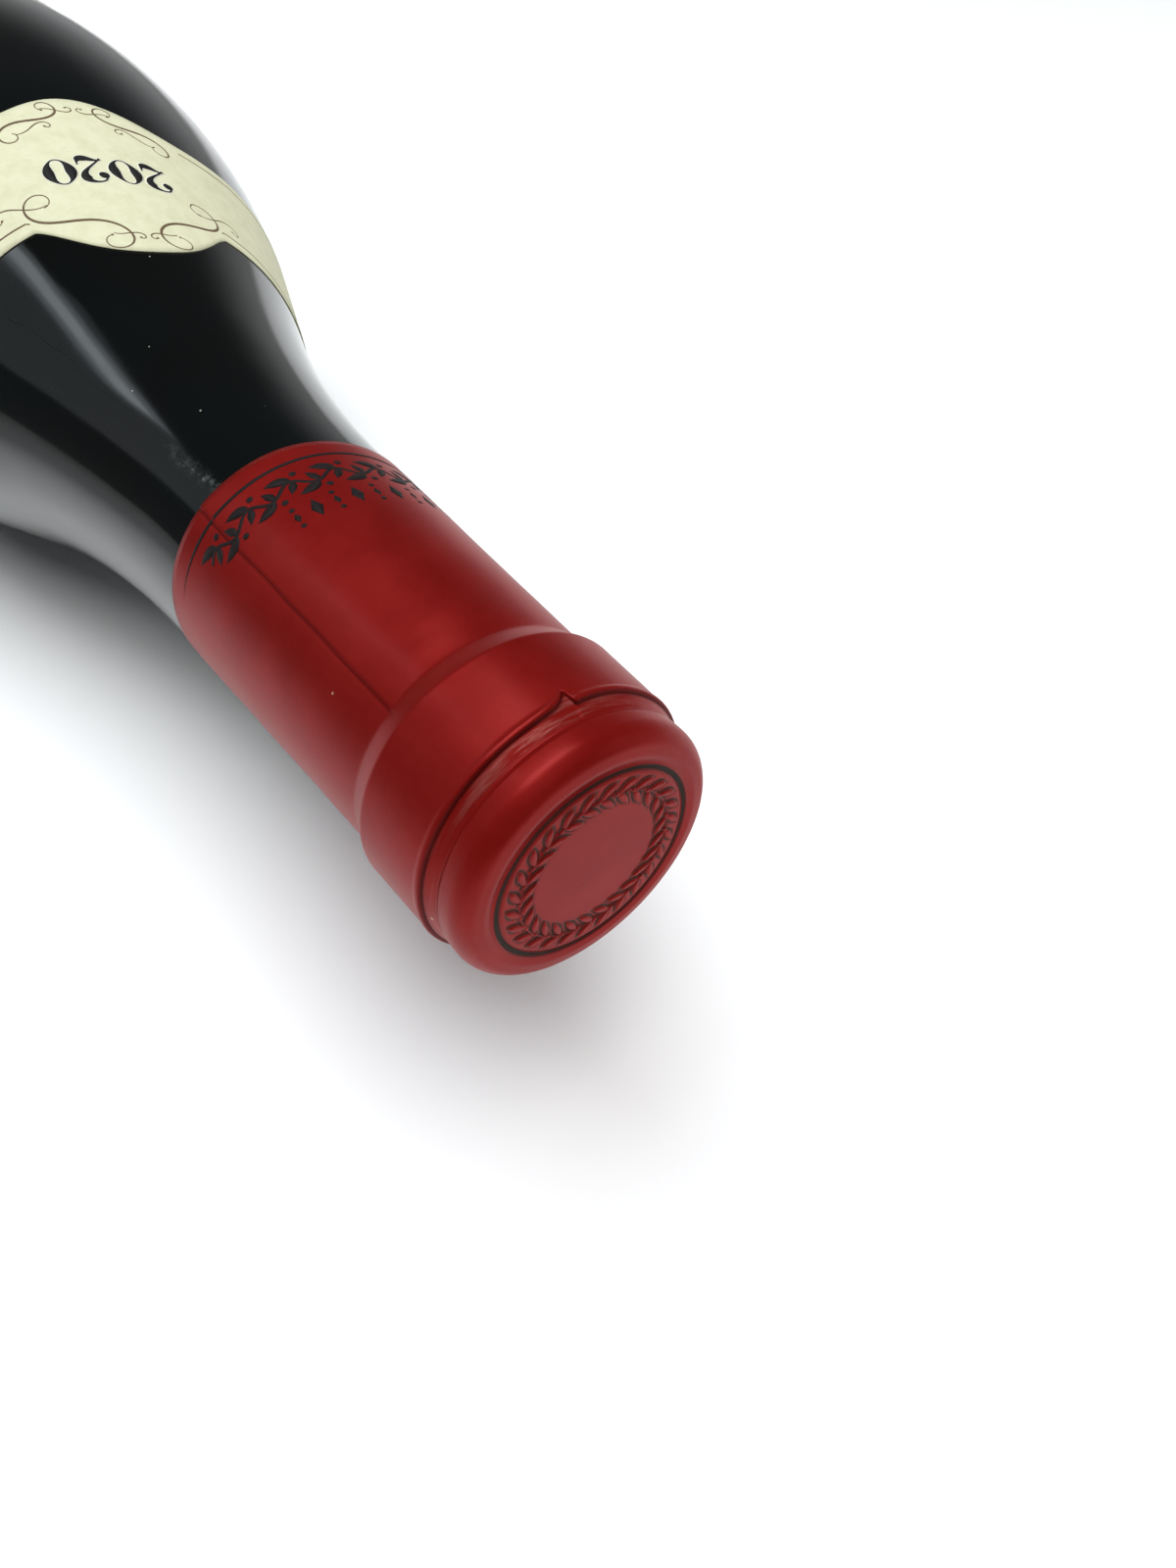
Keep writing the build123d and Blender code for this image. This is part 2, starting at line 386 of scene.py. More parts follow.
class Finish(Nodes):
    """A material with one Principled shader, and patterns measured in millimetres on the object."""

    def __init__(self, name, **constants):
        self.material = bpy.data.materials.new(name)
        self.material.use_nodes = True
        super().__init__(self.material.node_tree)
        self.surface = self.node("ShaderNodeBsdfPrincipled", {}, constants)
        self.node("ShaderNodeOutputMaterial", {}, {"Surface": self.surface.outputs[0]})
        where = self.node("ShaderNodeTexCoord").outputs["Object"]
        scaled = self.node("ShaderNodeMapping", {}, {"Vector": where, "Scale": (1 / MM,) * 3})
        self.place = scaled.outputs[0]

    def stretched(self, scale):
        return self.node("ShaderNodeMapping", {}, {"Vector": self.place, "Scale": scale}).outputs[0]

    def noise(self, size, detail=3.0, roughness=0.5, where=None):
        """Cloudy noise with features of about the size, in millimetres."""
        inputs = {"Vector": where or self.place, "Scale": 1 / size, "Detail": detail, "Roughness": roughness}
        return Number(self, self.node("ShaderNodeTexNoise", {}, inputs).outputs["Fac"])

    def specks(self, spacing, size, share):
        """Sparse round specks of about the size, in a share of cells the spacing wide."""
        inputs = {"Vector": self.place, "Scale": 1 / spacing}
        cells = self.node("ShaderNodeTexVoronoi", {}, inputs)
        near = 1 - Number(self, cells.outputs["Distance"]).above(0.4 * size / spacing, size / spacing)
        pick = self.node("ShaderNodeSeparateColor", {}, {"Color": cells.outputs["Color"]}).outputs[0]
        return near * Number(self, pick).above(1 - share, 1 - share + 0.01)

    def attribute(self, name):
        made = self.node("ShaderNodeAttribute", {"attribute_name": name})
        return Number(self, made.outputs["Fac"])

    def bump(self, height, distance, strength):
        inputs = {"Height": height, "Distance": distance * MM, "Strength": strength}
        return self.node("ShaderNodeBump", {}, inputs).outputs[0]

    def set(self, **inputs):
        for name, value in inputs.items():
            self.feed(self.surface.inputs[name.replace("_", " ")], value)


def dark_glass_finish():
    """Nearly black green glass full of red wine: glossy, a little wavy, with smears and dust."""
    finish = Finish("dark_glass", IOR=1.5, Specular_IOR_Level=0.42)
    smear = finish.noise(9.0, 4.0, 0.6, finish.stretched((0.22, 1.0, 1.0)))
    tint = finish.noise(30.0, 2.0)
    scuff = finish.attribute("scuff") * finish.noise(0.8, 5.0, 0.7).above(0.45, 0.7)
    dust = finish.specks(3.4, 0.15, 0.60)
    colour = finish.blend((0.0014, 0.0014, 0.0013), (0.0013, 0.0026, 0.0026), tint.above(0.35, 0.65))
    colour = finish.blend(colour, (0.20, 0.22, 0.22), scuff * 0.5)
    colour = finish.blend(colour, (0.55, 0.52, 0.42), dust * 0.8)
    wave = finish.noise(16.0, 2.0, 0.4, finish.stretched((0.4, 1.0, 1.0)))
    finish.set(
        Base_Color=colour,
        Roughness=0.08 + smear.above(0.40, 0.8) * 0.08 + scuff * 0.3 + dust * 0.4,
        Normal=finish.bump(wave, 0.6, 0.35),
    )
    return finish.material


def red_tin_finish():
    """Satin red lacquer on tin, with grey patina where the relief is pressed, painted shade darkening the
    fold and the seam, and fine drawing marks.
    """
    finish = Finish("red_tin", Coat_Roughness=0.22, IOR=1.38, Specular_Tint=(0.80, 0.25, 0.22))
    patina = finish.attribute("patina")
    band = finish.attribute("rubbed")
    cloud = finish.noise(6.0, 4.0, 0.6)
    grain = finish.noise(0.35, 3.0, 0.6)
    drawn = finish.noise(1.2, 4.0, 0.6, finish.stretched((0.06, 1.0, 1.0)))
    round_marks = finish.noise(0.5, 4.0, 0.7, finish.stretched((1.0, 0.08, 0.08)))
    dust = finish.specks(6.0, 0.24, 0.25)
    scratch = band * round_marks.above(0.45, 0.72)
    crease_shade = finish.attribute("crease_shade")
    colour = finish.blend((0.225, 0.0065, 0.0050), (0.265, 0.0095, 0.0075), cloud.above(0.3, 0.7))
    colour = finish.blend(colour, (0.42, 0.15, 0.13), scratch * 0.7)
    # Painted shade: the fold and the seam are darkened to a deep red, where shade falls in them.
    colour = finish.blend(colour, (0.030, 0.0015, 0.0012), crease_shade)
    colour = finish.blend(colour, (0.030, 0.028, 0.022), patina)
    colour = finish.blend(colour, (0.65, 0.50, 0.36), dust * 0.8)
    relief = drawn * 0.4 + cloud * 0.4 + grain * 0.5 + scratch * 1.5
    finish.set(
        Base_Color=colour,
        Metallic=(1 - patina) * (1 - dust) * 0.44,
        Roughness=0.31 + cloud * 0.06 + grain * 0.05 + patina * 0.3 + crease_shade * 0.2,
        Coat_Weight=(1 - patina) * (1 - crease_shade) * 0.11,
        Normal=finish.bump(relief, 0.035, 0.5),
    )
    return finish.material


def paper_finish(name, colour, darker):
    """Uncoated paper: faint mottling, fibres and a slight tooth."""
    finish = Finish(name, IOR=1.45)
    cloud = finish.noise(2.2, 5.0, 0.65)
    fibre = finish.noise(0.35, 3.0, 0.6, finish.stretched((1.0, 0.35, 0.35)))
    flecks = finish.specks(2.6, 0.10, 0.12)
    shade = finish.blend(colour, darker, cloud.above(0.35, 0.75))
    shade = finish.blend(shade, tuple(0.8 * part for part in darker), fibre.above(0.55, 0.8) * 0.35)
    shade = finish.blend(shade, (0.30, 0.26, 0.16), flecks * 0.5)
    finish.set(
        Base_Color=shade,
        Roughness=0.62 + cloud * 0.12,
        Normal=finish.bump(fibre + cloud * 0.6, 0.02, 0.6),
    )
    return finish.material


def ink_finish(name, colour, worn):
    """Printing ink, a little uneven where the paper or tin shows through."""
    finish = Finish(name, IOR=1.45)
    wear = finish.noise(0.5, 4.0, 0.7)
    finish.set(
        Base_Color=finish.blend(colour, worn, wear.above(0.45, 0.75) * 0.5),
        Roughness=0.58 + wear * 0.15,
        Normal=finish.bump(wear, 0.01, 0.4),
    )
    return finish.material


def floor_finish():
    """Paper with painted light: white round the bottle, with painted shade that turns it grey past the
    mouth, on the -Y side and far away, as light falls off on a lit table.
    """
    finish = Finish("painted_light_floor", Roughness=0.9)
    along, aside, _ = finish.axes(finish.place)
    length = finish.node("ShaderNodeVectorMath", {"operation": "LENGTH"}, {0: finish.place})
    # Painted light: the white pool round the bottle. Painted shade: the grey where its light falls off.
    painted_light_share = 1 - Number(finish, length.outputs["Value"]).above(650.0, 1700.0)
    painted_light_share = painted_light_share * (1 - along.above(225.0, 420.0)) * aside.above(-250.0, -62.0)
    finish.set(Base_Color=finish.blend((0.42, 0.42, 0.42), (0.96, 0.96, 0.96), painted_light_share))
    return finish.material


DARK_GLASS = dark_glass_finish()
DULL_GLASS = ink_finish("dull_glass", (0.0015, 0.002, 0.002), (0.006, 0.009, 0.010))
RED_TIN = red_tin_finish()
CREAM_PAPER = paper_finish("cream_paper", (0.72, 0.706, 0.495), (0.645, 0.632, 0.425))
PALE_PAPER = paper_finish("pale_paper", (0.86, 0.85, 0.72), (0.80, 0.79, 0.64))
BLACK_INK = ink_finish("black_ink", (0.009, 0.007, 0.007), (0.025, 0.021, 0.019))
TIN_INK = ink_finish("tin_ink", (0.006, 0.003, 0.003), (0.022, 0.006, 0.005))
BROWN_INK = ink_finish("brown_ink", (0.13, 0.085, 0.045), (0.26, 0.19, 0.11))


# ======== camera and light ========


def add_camera():
    """Close above the mouth, looking back along the bottle and down at it."""
    camera = bpy.data.objects.new("camera", bpy.data.cameras.new("camera"))
    bpy.context.scene.collection.objects.link(camera)
    bpy.context.scene.camera = camera
    camera.location = MOUTH + Vector(CAMERA_FROM_MOUTH) * MM
    camera.rotation_euler = (radians(90 - CAMERA_DOWN), 0.0, radians(CAMERA_HEADING))
    camera.data.sensor_width = 36.0
    camera.data.lens = 22.82
    camera.data.shift_x = -0.010
    camera.data.shift_y = -0.059
    camera.data.clip_start = 0.005
    camera.data.clip_end = 50.0


def add_softbox(name, bearing, elevation, distance, width, height, radiance):
    """A rectangular lamp that faces the neck, placed by the compass bearing and elevation it is seen at."""
    flat = radians(bearing)
    up = radians(elevation)
    aim = MOUTH + Vector(SOFTBOX_AIM) * MM
    towards = Vector((cos(flat) * cos(up), sin(flat) * cos(up), sin(up)))
    lamp = bpy.data.lights.new(name, "AREA")
    lamp.shape = "RECTANGLE"
    lamp.size = width
    lamp.size_y = height
    lamp.energy = pi * width * height * radiance
    lamp.color = SOFTBOX_COLOUR
    box = bpy.data.objects.new(name, lamp)
    bpy.context.scene.collection.objects.link(box)
    box.location = aim + towards * distance
    box.rotation_euler = towards.to_track_quat("Z", "Y").to_euler()


def add_stage():
    """White floor, dim room and soft lamps."""
    bm = bmesh.new()
    bmesh.ops.create_grid(bm, x_segments=1, y_segments=1, size=12.0)
    mesh = bpy.data.meshes.new("floor")
    bm.to_mesh(mesh)
    bm.free()
    floor = bpy.data.objects.new("floor", mesh)
    bpy.context.scene.collection.objects.link(floor)
    mesh.materials.append(floor_finish())

    key = bpy.data.lights.new("key", "SUN")
    key.angle = radians(50)
    key.energy = 2.62
    sun = bpy.data.objects.new("key", key)
    bpy.context.scene.collection.objects.link(sun)
    sun.rotation_euler = Vector(KEY_TOWARDS).to_track_quat("Z", "Y").to_euler()
    sun.visible_glossy = False

    for row in SOFTBOXES:
        add_softbox(*row)


def add_room():
    """A dim room, lighter near the horizon and on the +Y side."""
    world = bpy.data.worlds.new("room")
    world.use_nodes = True
    bpy.context.scene.world = world
    room = Nodes(world.node_tree)
    where = room.node("ShaderNodeTexCoord").outputs["Generated"]
    _, aside, up = room.axes(where)
    horizon = room.blend(DARK_HORIZON, LIGHT_HORIZON, aside.above(-0.5, 0.4))
    colour = room.blend(horizon, ZENITH, up.above(0.0, 0.45))
    background = room.node("ShaderNodeBackground", {}, {"Color": colour})
    room.node("ShaderNodeOutputWorld", {}, {"Surface": background.outputs[0]})


# ======== glass ========


def make_glass():
    """The bottle's outside, with the punt in its base and the flat that it lies on."""
    dome_radius = (PUNT_RADIUS**2 + PUNT_HEIGHT**2) / (2 * PUNT_HEIGHT)
    dome_centre = HEIGHT - PUNT_HEIGHT + dome_radius
    reach = asin(PUNT_RADIUS / dome_radius)

    def on_dome(share):
        return dome_centre - dome_radius * cos(reach * share), dome_radius * sin(reach * share)

    rim = rounded([
        (HEIGHT, PUNT_RADIUS + 4, 0.0), (HEIGHT, PUNT_RADIUS, PUNT_RIM_ROUND), (*on_dome(0.9), 0.0),
    ])
    dome = [on_dome(i / PUNT_RINGS) for i in range(PUNT_RINGS - 3, -1, -1)]
    bm = spun(densified(GLASS_OUTLINE[:-1], GLASS_ROW) + rim[1:-1] + dome, GLASS_STEPS)
    for vert in bm.verts:
        vert.co.z = max(vert.co.z, -AXIS_HEIGHT)
    scuff = bm.verts.layers.float.new("scuff")
    for vert in bm.verts:
        depth, turn, _ = polar(vert.co)
        path = -37.5 + smooth(depth, 82.0, 50.0) * 9.0 if depth > 50 else -28.0
        vert[scuff] = bell(turn, path, 2.0) * smooth(depth, 51.0, 52.5) * (1 - smooth(depth, 57.0, 64.0))
    seat("glass", bm, DARK_GLASS, "glass_bottle")


def make_flow_lines():
    """Fine wavering lines down the neck, where the glass set unevenly."""
    bm = bmesh.new()
    for first, last, start_turn, drift, waver, width in FLOW_LINES:
        path = []
        for i in range(161):
            depth = first + (last - first) * i / 160
            sway = noise.noise(Vector((depth * 0.15, start_turn, 0.0))) * waver * (depth - first) / 25
            path.append((start_turn + drift * (depth - first) + sway, depth))
        stroke(bm, path, swelling(0.06, width), lambda turn, depth: (depth, turn), 0.012)
    print_piece("flow_lines", bm, DULL_GLASS)


# ======== capsule ========


def leaf_distance(along, across, side):
    """How far a point is from the middle of a leaf, where 1 is the leaf's edge."""
    slant = radians(LEAF_SLANT) * side
    middle = (0.35, 0.68 * side)
    x = (along - middle[0]) * cos(slant) + (across - middle[1]) * sin(slant)
    y = -(along - middle[0]) * sin(slant) + (across - middle[1]) * cos(slant)
    pointed = 1 - 0.55 * min(abs(x) / LEAF_HALF_LENGTH, 1.0) ** 2
    return hypot(x / LEAF_HALF_LENGTH, y / (LEAF_HALF_WIDTH * pointed))


def wreath(turn, radius):
    """Height of the pressed wreath, and how dark the patina lies, on the flat top."""
    cell = 360.0 / WREATH_CELLS
    along = radians((turn % cell) - cell / 2) * radius
    pitch = radians(cell) * radius
    across = radius - WREATH_RADIUS
    nearest = min(
        leaf_distance(along + shift * pitch, across, side) for shift in (-1, 0, 1) for side in (-1, 1)
    )
    berry = hypot(along + 0.62, across) / 0.24
    stem = abs(across) / 0.10
    edge = min(nearest, berry, stem + 0.25)
    height = WREATH_HEIGHT * (1 - smooth(edge, 0.55, 1.1))
    near = smooth(edge, 0.78, 1.0) * (1 - smooth(edge, 1.15, 1.75))
    fade = smooth(abs(across), 1.55, 1.25)
    return height * fade - 0.05 * near * fade, near * fade


def fold_shift(turn):
    """How far the fold in the tin wanders along the neck, with the small lap where it closes."""
    shift = 0.10 * sin(radians(2 * turn + 40)) + 0.05 * sin(radians(5 * turn))
    past = (turn - NOTCH_TURN + 180) % 360 - 180
    before = 1.35 * exp(min(past, 0.0) / 3.2)
    after = -0.30 * exp(-max(past, 0.0) / 8.0)
    return shift + before + (after - before) * smooth(past, -0.2, 1.3)


def past_seam(depth, turn):
    """Degrees past the seam, which wavers a little."""
    return turn - SEAM_TURN - 0.6 * noise.noise(Vector((depth * 0.12, 3.1, 0.0)))


def tin_relief(depth, turn):
    """How far the tin stands off its turned shape: seam, creases, the lap and slight dents."""
    swell = noise.noise(Vector((depth * 0.16, sin(radians(turn)) * 2.3, cos(radians(turn)) * 2.3)))
    relief = 0.035 * swell * smooth(depth, 1.0, 3.0)
    below_collar = smooth(depth, 15.0, 18.0)
    past = past_seam(depth, turn)
    relief -= 0.05 * bell(past, 0.0, 0.9) * below_collar
    relief += 0.055 * smooth(past, 0.0, 1.2) * (1 - smooth(past, 1.2, 11.0)) * below_collar
    for middle, slope, height, width in NECK_CREASES:
        across = depth - middle - slope * turn
        relief += height * bell(across, 0.0, width) * bell(turn, -10.0, 17.0)
    relief += (0.09 + 0.12 * bell(turn, NOTCH_TURN - 3.0, 7.0)) * bell(depth, FOLD_DEPTH + 0.28, 0.24)
    relief -= 0.10 * bell(turn, NOTCH_TURN + 2.6, 1.2) * bell(depth, 6.0, 0.6)
    return relief


def make_capsule():
    """The tin: cup, collar, fold, seam, and a flat top with a ring and a wreath pressed into it."""
    low, high = DISC_GROOVE_RADIUS - DISC_GROOVE_HALF_WIDTH, DISC_GROOVE_RADIUS + DISC_GROOVE_HALF_WIDTH
    relief_rings = [5.9 + 0.105 * i for i in range(33)]
    disc = [(0.0, r) for r in [0.0, 1.5, 3.0, 4.5, 5.4] + relief_rings]
    disc += [(0.0, low - 0.06), (0.05, low), (0.8 * DISC_GROOVE_SINK, low + 0.07)]
    disc += [(DISC_GROOVE_SINK, DISC_GROOVE_RADIUS), (0.8 * DISC_GROOVE_SINK, high - 0.07)]
    disc += [(0.03, high), (0.0, high + 0.08), (0.0, high + 0.3)]
    skirt_radius = glass_radius(CAPSULE_LENGTH) + TIN_AND_FIT
    side = rounded(
        [(0.0, high + 0.3, 0.0), (0.0, LIP_RADIUS, LIP_ROUND)]
        + finish_corners(0.0, True)
        + [(CAPSULE_LENGTH, skirt_radius, 0.0)],
        arc_step=7.0,
    )
    inside = [(CAPSULE_LENGTH, skirt_radius - TIN), (COLLAR_FOOT[0] + 2, COLLAR_FOOT[1] - 0.15)]
    inside += [(COLLAR_FOOT[0] - 4, COLLAR_FOOT[1]), (3.0, 12.4), (0.6, 10.8), (0.6, 0.0)]
    walls = [
        point for first, second in zip(side, side[1:])
        for point in densified([first, second], 0.16 if 3.4 < first[0] < 7.2 else 0.7)[1:]
    ]
    bm = spun(disc + walls + inside, TIN_STEPS)
    patina, rubbed, crease_shade = (bm.verts.layers.float.new(name) for name in ("patina", "rubbed", "crease_shade"))
    inner_wall = lookup([(0.6, 12.5)] + inside[-3:0:-1] + inside[:1])
    for vert in bm.verts:
        depth, turn, radius = polar(vert.co)
        if depth < 0.5 and radius < high + 0.35:
            sunk = smooth(depth, 0.02, 0.2)
            height, dark = (0.0, 0.0) if radius > WREATH_OUTSIDE else wreath(turn, radius)
            vert.co.x += min(height, 0.0) if depth > 0.01 else height - DISC_SINK
            vert[patina] = max(sunk, dark)
            if radius > WREATH_OUTSIDE:
                vert.co.x -= DISC_SINK
            continue
        if radius < inner_wall(depth) + 0.03 and depth > 0.55:
            continue
        shift = fold_shift(turn) * bell(depth, FOLD_DEPTH, 0.9)
        relief = tin_relief(depth, turn)
        clear = glass_radius(max(depth + shift, 3.0)) + LEAST_TIN_OVER_GLASS if depth > 3.0 else 0.0
        vert.co = on_bottle(depth + shift, turn, max(radius + relief, clear))
        if depth < 0.5:
            vert.co.x -= DISC_SINK * (1 - smooth(depth, 0.0, 0.4))
        wear = smooth(depth + shift, 4.05, 4.4) * (1 - smooth(depth, FOLD_DEPTH - 0.3, FOLD_DEPTH))
        vert[rubbed] = wear * (0.35 + 0.65 * bell(turn, -12.0, 22.0))
        # Painted shade: the fold and the seam are darkened, where shade falls in them.
        fold_shade = 0.85 * bell(depth, FOLD_DEPTH - 0.14, 0.14)
        seam_shade = 0.65 * bell(past_seam(depth, turn), 0.0, 0.55) * smooth(depth, 15.0, 17.0)
        scar = bell(turn, -62.0, 7.0) * bell(depth, 2.6, 0.22)
        scar *= smooth(noise.noise(vert.co * 3.0), -0.1, 0.2)
        vert[crease_shade] = max(fold_shade, seam_shade)
        vert[patina] = 0.9 * scar
    seat("capsule", bm, RED_TIN, "capsule")


# ======== printing ========


def surface(depth, turn):
    """Radius of the glass there, or of the tin where it covers the glass."""
    if depth > CAPSULE_LENGTH:
        return glass_radius(depth)
    return glass_radius(depth) + TIN_AND_FIT + tin_relief(depth, turn)


def stroke(bm, path, width_at, laid, lift):
    """A flat pen stroke along a path of (across, up), laid on the bottle by a function and lifted off it."""
    last = len(path) - 1
    strip = bmesh.ops.create_grid(bm, x_segments=last, y_segments=2, size=1.0)["verts"]
    for vert in strip:
        i = round((vert.co.x + 1) / 2 * last)
        ahead = path[min(i + 1, last)]
        behind = path[max(i - 1, 0)]
        run = Vector((ahead[0] - behind[0], ahead[1] - behind[1])).normalized()
        aside = vert.co.y * max(width_at(i / last) / 2, 0.004)
        depth, turn = laid(path[i][0] - aside * run.y, path[i][1] + aside * run.x)
        vert.co = on_bottle(depth, turn, surface(depth, turn) + lift)


def laid_at(depth, turn):
    """A function that lays (across, up) round a middle point, with up towards the mouth."""

    def laid(across, up):
        there = depth - up
        return there, turn - degrees(across / glass_radius(there))

    return laid


def swept_line(start, end, start_curl, end_curl, steps=64):
    """A line between two points that winds up at each end by the given angles in degrees."""
    x = y = heading = 0.0
    points = [(0.0, 0.0)]
    for i in range(steps):
        t = (i + 0.5) / steps
        heading += radians(4 * start_curl * (1 - t) ** 3 + 4 * end_curl * t**3) / steps
        x += cos(heading) / steps
        y += sin(heading) / steps
        points.append((x, y))
    scale = hypot(end[0] - start[0], end[1] - start[1]) / hypot(x, y)
    swing = atan2(end[1] - start[1], end[0] - start[0]) - atan2(y, x)
    c, s = scale * cos(swing), scale * sin(swing)
    return [(start[0] + c * px - s * py, start[1] + s * px + c * py) for px, py in points]


def swelling(thin, thick):
    """Width of a stroke that is thin at its ends and thick in its middle."""
    return lambda t: thin + (thick - thin) * sin(pi * t) ** 2


def dot(bm, x, y, size, laid, lift):
    """A round printed dot."""
    steps = 12
    path = [(x - size / 2 * cos(pi * i / steps), y) for i in range(steps + 1)]
    stroke(bm, path, lambda t: size * sin(pi * t), laid, lift)


def lozenge(bm, x, y, width, height, laid, lift):
    """A printed diamond, taller than wide."""
    path = [(x, y - height / 2 + height * i / 8) for i in range(9)]
    stroke(bm, path, lambda t: width * (1 - abs(2 * t - 1)), laid, lift)


def leaf(bm, start, end, curl, width, laid, lift):
    """A printed leaf: a curved stroke that swells near its root."""
    path = swept_line(start, end, curl, curl * 0.3, 14)
    stroke(bm, path, lambda t: width * sin(pi * t**0.8), laid, lift)


def bezier_path(*points, steps=16):
    """Points along joined Bezier pieces: a point, then two handles and a point for each piece."""
    out = [points[0]]
    for i in range(0, len(points) - 1, 3):
        knots = [Vector((*p, 0.0)) for p in points[i:i + 4]]
        out += [(p.x, p.y) for p in interpolate_bezier(*knots, steps + 1)[1:]]
    return out


def figure_two(bm, x, y, size, grow, laid, lift):
    """A bold figure 2 with a ball, a hairline and a swelling foot."""
    def scaled(points):
        return [(x + size * (px - 0.36), y + size * (py - 0.5)) for px, py in points]

    bow = scaled(bezier_path(
        (0.13, 0.71), (0.08, 0.90), (0.22, 0.985), (0.36, 0.985),
        (0.56, 0.985), (0.62, 0.84), (0.60, 0.70), (0.57, 0.48), (0.25, 0.30), (0.07, 0.04),
    ))
    foot = scaled(bezier_path(
        (0.05, 0.07), (0.20, 0.22), (0.42, -0.06), (0.58, 0.06), (0.64, 0.11), (0.66, 0.2), (0.66, 0.29),
    ))
    stroke(bm, bow, lambda t: grow + size * (0.05 + 0.20 * bell(t, 0.58, 0.16)), laid, lift)
    stroke(bm, foot, lambda t: grow + size * (0.04 + 0.18 * bell(t, 0.42, 0.24)), laid, lift)
    ball = scaled([(0.16, 0.72)])[0]
    dot(bm, *ball, size * 0.25 + grow, laid, lift)


def figure_nought(bm, x, y, size, grow, laid, lift):
    """A bold figure 0: an upright ring, heavy at its sides."""
    path = [
        (x + size * 0.265 * sin(2 * pi * i / 48), y + size * 0.475 * cos(2 * pi * i / 48)) for i in range(49)
    ]
    stroke(bm, path, lambda t: grow + size * (0.04 + 0.22 * sin(2 * pi * t) ** 4), laid, lift)


def print_piece(name, bm, finish):
    """Ink has a little thickness, so that each stroke is a closed shape."""
    bmesh.ops.recalc_face_normals(bm, faces=bm.faces)
    for face in bm.faces:
        outward = Vector((0, face.calc_center_median().y, face.calc_center_median().z))
        if face.normal.dot(outward) < 0:
            face.normal_flip()
    bmesh.ops.solidify(bm, geom=bm.faces[:], thickness=INK)
    seat(name, bm, finish, closed=False)


# ======== labels ========


def band_edges():
    """Depths of the band's two edges as functions of the turn away from its middle."""
    def to_turns(points):
        return [(degrees(asin(min(w / glass_radius(d), 1.0))), d) for w, d in points]

    rise = BAND_TOP_DEPTH - TOP_LOBE_DEPTH
    run = BAND_FLARE_HALF_WIDTH - WAIST_HALF_WIDTH
    top = bezier_path(
        (0, TOP_LOBE_DEPTH), (0.55 * TOP_LOBE_HALF_WIDTH, TOP_LOBE_DEPTH),
        (0.75 * TOP_LOBE_HALF_WIDTH, TOP_LOBE_DEPTH + 0.7 * rise), (TOP_LOBE_HALF_WIDTH, BAND_TOP_DEPTH),
        steps=40,
    )
    foot = bezier_path(
        (0, FOOT_LOBE_DEPTH), (0.4 * WAIST_HALF_WIDTH, FOOT_LOBE_DEPTH),
        (0.65 * WAIST_HALF_WIDTH, BAND_WAIST_DEPTH), (WAIST_HALF_WIDTH, BAND_WAIST_DEPTH),
        (WAIST_HALF_WIDTH + 0.35 * run, BAND_WAIST_DEPTH),
        (BAND_FLARE_HALF_WIDTH - 0.3 * run, BAND_FOOT_DEPTH), (BAND_FLARE_HALF_WIDTH, BAND_FOOT_DEPTH),
        steps=40,
    )
    top_edge = lookup(to_turns(top) + [(90.0, BAND_TOP_DEPTH)])
    foot_edge = lookup(to_turns(foot) + [(90.0, BAND_FOOT_DEPTH)])
    return top_edge, foot_edge


TOP_EDGE, FOOT_EDGE = band_edges()


def paper_sheet(name, columns, rows, corner_of, replaces):
    """A sheet of paper from a grid, laid on the glass by a function of its two shares from 0 to 1."""
    bm = bmesh.new()
    bmesh.ops.create_grid(bm, x_segments=columns, y_segments=rows, size=1.0)
    for vert in bm.verts:
        depth, turn = corner_of((vert.co.x + 1) / 2, (vert.co.y + 1) / 2)
        vert.co = on_bottle(depth, turn, glass_radius(depth) + PAPER_LIFT)
    for face in bm.faces:
        face.normal_update()
        centre = face.calc_center_median()
        if face.normal.dot(Vector((0, centre.y, centre.z))) < 0:
            face.normal_flip()
    bmesh.ops.solidify(bm, geom=bm.faces[:], thickness=PAPER)
    seat(name, bm, CREAM_PAPER, replaces, closed=False)


def make_neck_label():
    """The band round the shoulder, with a lobe in the middle of each long edge."""
    def corner_of(across, along):
        side = 2 * across - 1
        nominal = abs(side) * 84.0
        depth = TOP_EDGE(nominal) + (FOOT_EDGE(nominal) - TOP_EDGE(nominal)) * along
        reach = degrees(acos(BAND_END_HEIGHT / glass_radius(depth)))
        return depth, LABEL_TURN + side * reach

    paper_sheet("neck_label", 360, 24, corner_of, "neck_label")


def make_front_label():
    """The rectangle on the body."""
    half_turn = degrees(FRONT_WIDTH / 2 / BODY_RADIUS)

    def corner_of(across, along):
        return FRONT_TOP_DEPTH + FRONT_HEIGHT * along, LABEL_TURN + (2 * across - 1) * half_turn

    paper_sheet("front_label", 120, 12, corner_of, "front_label")


